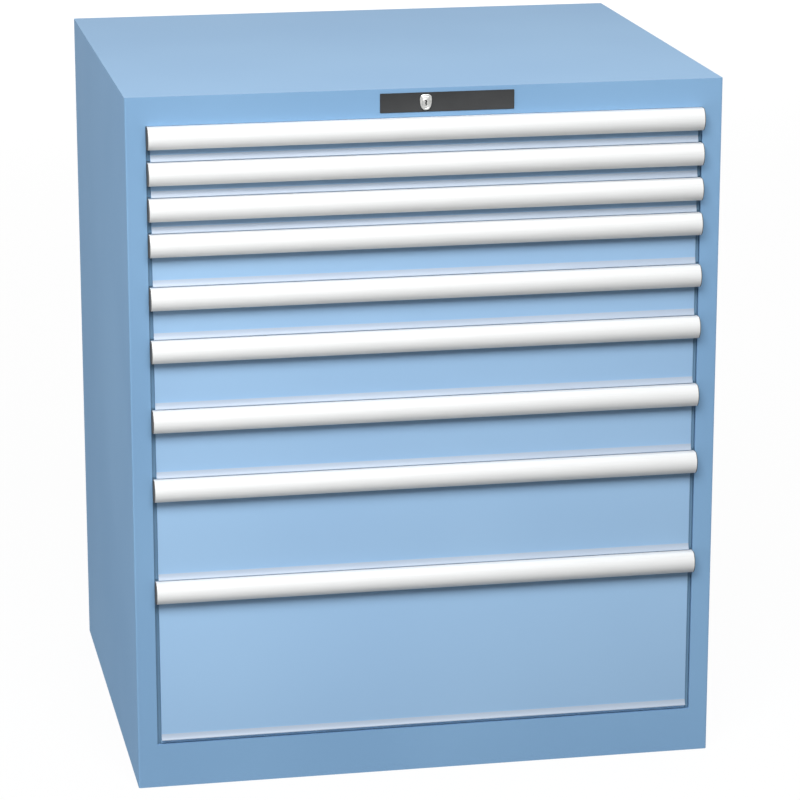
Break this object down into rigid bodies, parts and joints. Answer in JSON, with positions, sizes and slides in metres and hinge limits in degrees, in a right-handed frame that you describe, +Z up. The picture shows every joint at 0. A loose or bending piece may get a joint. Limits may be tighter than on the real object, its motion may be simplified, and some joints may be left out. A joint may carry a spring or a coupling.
{
  "type": "multi-drawer cabinet",
  "caption": "Sheet-steel drawer cabinet with full-width grips, shallow to deep full-extension drawers on roller carriages and a central lock.",
  "frame": {"origin": "middle of the whole footprint, handles included, at floor level", "axes": "X across the front with +X on the viewer's right, +Y from the front to the back, +Z up; drawers open towards -Y"},
  "size_m": [0.84, 0.719, 1],
  "materials": {
    "cabinet_enamel": "smooth light-blue powder coat, satin",
    "drawer_enamel": "light-grey powder coat, satin",
    "grip_enamel": "extruded aluminium with white lacquer, and dark moulded end caps",
    "zinc_steel": "zinc-plated steel",
    "lock_strip_plastic": "dark grey moulded plastic",
    "lock_metal": "nickel-plated zinc casting"
  },
  "bodies": {
    "cabinet": {"side_panel_right": "cabinet_enamel", "side_panel_left": "cabinet_enamel", "top_cover": "cabinet_enamel", "bottom_rail": "cabinet_enamel", "base_pan": "cabinet_enamel", "back_panel": "cabinet_enamel", "base_gussets": "zinc_steel", "uprights": "zinc_steel", "cabinet_rails": "zinc_steel", "lock_strip": "lock_strip_plastic", "lock_body": "lock_metal"},
    "drawer_1": {"drawer_1_box": "drawer_enamel", "drawer_1_front": "cabinet_enamel", "drawer_1_handle": "grip_enamel", "drawer_1_runners": "zinc_steel"},
    "drawer_2": {"drawer_2_box": "drawer_enamel", "drawer_2_front": "cabinet_enamel", "drawer_2_handle": "grip_enamel", "drawer_2_runners": "zinc_steel"},
    "drawer_3": {"drawer_3_box": "drawer_enamel", "drawer_3_front": "cabinet_enamel", "drawer_3_handle": "grip_enamel", "drawer_3_runners": "zinc_steel"},
    "drawer_4": {"drawer_4_box": "drawer_enamel", "drawer_4_front": "cabinet_enamel", "drawer_4_handle": "grip_enamel", "drawer_4_runners": "zinc_steel"},
    "drawer_5": {"drawer_5_box": "drawer_enamel", "drawer_5_front": "cabinet_enamel", "drawer_5_handle": "grip_enamel", "drawer_5_runners": "zinc_steel"},
    "drawer_6": {"drawer_6_box": "drawer_enamel", "drawer_6_front": "cabinet_enamel", "drawer_6_handle": "grip_enamel", "drawer_6_runners": "zinc_steel"},
    "drawer_7": {"drawer_7_box": "drawer_enamel", "drawer_7_front": "cabinet_enamel", "drawer_7_handle": "grip_enamel", "drawer_7_runners": "zinc_steel"},
    "drawer_8": {"drawer_8_box": "drawer_enamel", "drawer_8_front": "cabinet_enamel", "drawer_8_handle": "grip_enamel", "drawer_8_runners": "zinc_steel"},
    "drawer_9": {"drawer_9_box": "drawer_enamel", "drawer_9_front": "cabinet_enamel", "drawer_9_handle": "grip_enamel", "drawer_9_runners": "zinc_steel"},
    "carriage_1": {"carriage_1": "zinc_steel"},
    "carriage_2": {"carriage_2": "zinc_steel"},
    "carriage_3": {"carriage_3": "zinc_steel"},
    "carriage_4": {"carriage_4": "zinc_steel"},
    "carriage_5": {"carriage_5": "zinc_steel"},
    "carriage_6": {"carriage_6": "zinc_steel"},
    "carriage_7": {"carriage_7": "zinc_steel"},
    "carriage_8": {"carriage_8": "zinc_steel"},
    "carriage_9": {"carriage_9": "zinc_steel"},
    "locking_bar": {"locking_bar": "zinc_steel", "locking_hooks": "zinc_steel"},
    "lock_link": {"lock_link": "zinc_steel"},
    "lock_cylinder": {"lock_cylinder": "lock_metal"}
  },
  "joints": [
    {"name": "drawer_1_slide", "type": "slide", "parent": "cabinet", "child": "drawer_1", "axis": [0, -1, 0], "range_m": [0, 0.6]},
    {"name": "drawer_2_slide", "type": "slide", "parent": "cabinet", "child": "drawer_2", "axis": [0, -1, 0], "range_m": [0, 0.6]},
    {"name": "drawer_3_slide", "type": "slide", "parent": "cabinet", "child": "drawer_3", "axis": [0, -1, 0], "range_m": [0, 0.6]},
    {"name": "drawer_4_slide", "type": "slide", "parent": "cabinet", "child": "drawer_4", "axis": [0, -1, 0], "range_m": [0, 0.6]},
    {"name": "drawer_5_slide", "type": "slide", "parent": "cabinet", "child": "drawer_5", "axis": [0, -1, 0], "range_m": [0, 0.6]},
    {"name": "drawer_6_slide", "type": "slide", "parent": "cabinet", "child": "drawer_6", "axis": [0, -1, 0], "range_m": [0, 0.6]},
    {"name": "drawer_7_slide", "type": "slide", "parent": "cabinet", "child": "drawer_7", "axis": [0, -1, 0], "range_m": [0, 0.6]},
    {"name": "drawer_8_slide", "type": "slide", "parent": "cabinet", "child": "drawer_8", "axis": [0, -1, 0], "range_m": [0, 0.6]},
    {"name": "drawer_9_slide", "type": "slide", "parent": "cabinet", "child": "drawer_9", "axis": [0, -1, 0], "range_m": [0, 0.6]},
    {"name": "carriage_1_slide", "type": "slide", "parent": "cabinet", "child": "carriage_1", "axis": [0, -1, 0], "range_m": [0, 0.3]},
    {"name": "carriage_2_slide", "type": "slide", "parent": "cabinet", "child": "carriage_2", "axis": [0, -1, 0], "range_m": [0, 0.3]},
    {"name": "carriage_3_slide", "type": "slide", "parent": "cabinet", "child": "carriage_3", "axis": [0, -1, 0], "range_m": [0, 0.3]},
    {"name": "carriage_4_slide", "type": "slide", "parent": "cabinet", "child": "carriage_4", "axis": [0, -1, 0], "range_m": [0, 0.3]},
    {"name": "carriage_5_slide", "type": "slide", "parent": "cabinet", "child": "carriage_5", "axis": [0, -1, 0], "range_m": [0, 0.3]},
    {"name": "carriage_6_slide", "type": "slide", "parent": "cabinet", "child": "carriage_6", "axis": [0, -1, 0], "range_m": [0, 0.3]},
    {"name": "carriage_7_slide", "type": "slide", "parent": "cabinet", "child": "carriage_7", "axis": [0, -1, 0], "range_m": [0, 0.3]},
    {"name": "carriage_8_slide", "type": "slide", "parent": "cabinet", "child": "carriage_8", "axis": [0, -1, 0], "range_m": [0, 0.3]},
    {"name": "carriage_9_slide", "type": "slide", "parent": "cabinet", "child": "carriage_9", "axis": [0, -1, 0], "range_m": [0, 0.3]},
    {"name": "locking_bar_lift", "type": "slide", "parent": "cabinet", "child": "locking_bar", "axis": [0, 0, 1], "range_m": [0, 0.012]},
    {"name": "lock_link_slide", "type": "slide", "parent": "cabinet", "child": "lock_link", "axis": [1, 0, 0], "range_m": [0, 0.012]},
    {"name": "lock_turn", "type": "hinge", "parent": "cabinet", "child": "lock_cylinder", "pos_m": [-0.004, -0.3405, 0.9805], "axis": [0, 1, 0], "range_deg": [0, 90]}
  ],
  "couplings": [
    {"joint": "carriage_1_slide", "follows": "drawer_1_slide", "ratio": 0.5},
    {"joint": "carriage_2_slide", "follows": "drawer_2_slide", "ratio": 0.5},
    {"joint": "carriage_3_slide", "follows": "drawer_3_slide", "ratio": 0.5},
    {"joint": "carriage_4_slide", "follows": "drawer_4_slide", "ratio": 0.5},
    {"joint": "carriage_5_slide", "follows": "drawer_5_slide", "ratio": 0.5},
    {"joint": "carriage_6_slide", "follows": "drawer_6_slide", "ratio": 0.5},
    {"joint": "carriage_7_slide", "follows": "drawer_7_slide", "ratio": 0.5},
    {"joint": "carriage_8_slide", "follows": "drawer_8_slide", "ratio": 0.5},
    {"joint": "carriage_9_slide", "follows": "drawer_9_slide", "ratio": 0.5},
    {"joint": "lock_link_slide", "follows": "locking_bar_lift", "ratio": 1},
    {"joint": "lock_turn", "follows": "locking_bar_lift", "rad_per_m": 130.9}
  ]
}
